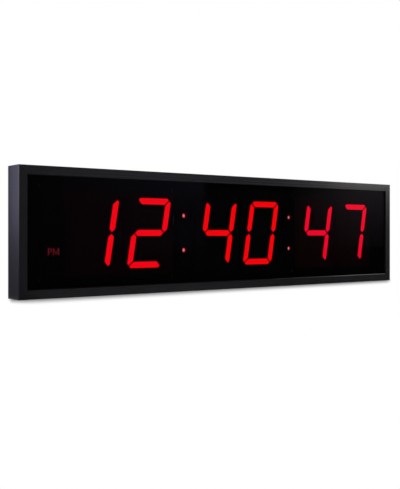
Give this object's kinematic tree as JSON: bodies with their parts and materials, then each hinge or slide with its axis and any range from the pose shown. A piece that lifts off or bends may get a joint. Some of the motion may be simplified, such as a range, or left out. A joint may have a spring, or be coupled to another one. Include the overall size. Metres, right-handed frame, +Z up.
{
  "type": "led wall clock",
  "caption": "Long low wall clock with slanted red seven-segment digits, colons and a PM sign behind a smoked window in a mitred black frame.",
  "frame": {"origin": "middle of the bottom edge, half way through the depth", "axes": "+X to the viewer's right along the clock, +Y from the window to the wall, +Z up"},
  "size_m": [0.9144, 0.044, 0.222],
  "materials": {
    "frame_black": "satin black anodised",
    "smoked_window": "polished smoked acrylic",
    "digit_black": "matt black moulding",
    "segment_lit": "diffuser, lit",
    "segment_dark": "diffuser, unlit",
    "lamp_lit": "clear lamp, lit",
    "sign_lit": "dim lit sign",
    "circuit_board": "solder resist",
    "display_board": "black solder resist",
    "chip_black": "moulded black",
    "brass_post": "plain brass",
    "zinc_steel": "zinc plated",
    "dark_steel": "black oxide",
    "can_sleeve": "shrink sleeve",
    "ribbon_grey": "flat cable",
    "jack_black": "moulded black",
    "panel_black": "black powder coat",
    "button_grey": "moulded dark grey"
  },
  "bodies": {
    "clock": {"frame_top_rail": "frame_black", "frame_bottom_rail": "frame_black", "frame_left_stile": "frame_black", "frame_right_stile": "frame_black", "corner_brackets": "zinc_steel", "corner_screws": "dark_steel", "front_lens": "smoked_window", "hour_tens_housing": "digit_black", "hour_tens_lit_segments": "segment_lit", "hour_tens_dark_segments": "segment_dark", "hour_ones_housing": "digit_black", "hour_ones_lit_segments": "segment_lit", "hour_ones_dark_segments": "segment_dark", "minute_tens_housing": "digit_black", "minute_tens_lit_segments": "segment_lit", "minute_tens_dark_segments": "segment_dark", "minute_ones_housing": "digit_black", "minute_ones_lit_segments": "segment_lit", "minute_ones_dark_segments": "segment_dark", "second_tens_housing": "digit_black", "second_tens_lit_segments": "segment_lit", "second_tens_dark_segments": "segment_dark", "second_ones_housing": "digit_black", "second_ones_lit_segments": "segment_lit", "second_ones_dark_segments": "segment_dark", "colon_blocks": "digit_black", "colon_lamps": "lamp_lit", "pm_light_box": "digit_black", "pm_legend": "sign_lit", "pm_lamp": "lamp_lit", "hour_board": "display_board", "minute_board": "display_board", "second_board": "display_board", "segment_lamps": "lamp_lit", "driver_chips": "chip_black", "board_standoffs": "brass_post", "board_screws": "dark_steel", "standoff_screws": "dark_steel", "control_board": "circuit_board", "microcontroller": "chip_black", "clock_crystal": "zinc_steel", "coin_cell_holder": "chip_black", "coin_cell": "zinc_steel", "power_capacitors": "can_sleeve", "board_connectors": "chip_black", "ribbon_cables": "ribbon_grey", "power_jack": "jack_black", "button_switches": "chip_black", "back_panel": "panel_black", "back_panel_screws": "dark_steel", "left_hanger_plate": "zinc_steel", "right_hanger_plate": "zinc_steel", "hanger_rivets": "zinc_steel", "inlet_cup": "jack_black", "inlet_cup_screws": "dark_steel"},
    "set_button": {"set_button": "button_grey"},
    "up_button": {"up_button": "button_grey"},
    "down_button": {"down_button": "button_grey"},
    "dimmer_button": {"dimmer_button": "button_grey"}
  },
  "joints": [
    {"name": "set_button_press", "type": "slide", "parent": "clock", "child": "set_button", "axis": [0, -1, 0], "range_m": [0, 0.0006], "stiffness_N_per_m": 1500},
    {"name": "up_button_press", "type": "slide", "parent": "clock", "child": "up_button", "axis": [0, -1, 0], "range_m": [0, 0.0006], "stiffness_N_per_m": 1500},
    {"name": "down_button_press", "type": "slide", "parent": "clock", "child": "down_button", "axis": [0, -1, 0], "range_m": [0, 0.0006], "stiffness_N_per_m": 1500},
    {"name": "dimmer_button_press", "type": "slide", "parent": "clock", "child": "dimmer_button", "axis": [0, -1, 0], "range_m": [0, 0.0006], "stiffness_N_per_m": 1500}
  ]
}
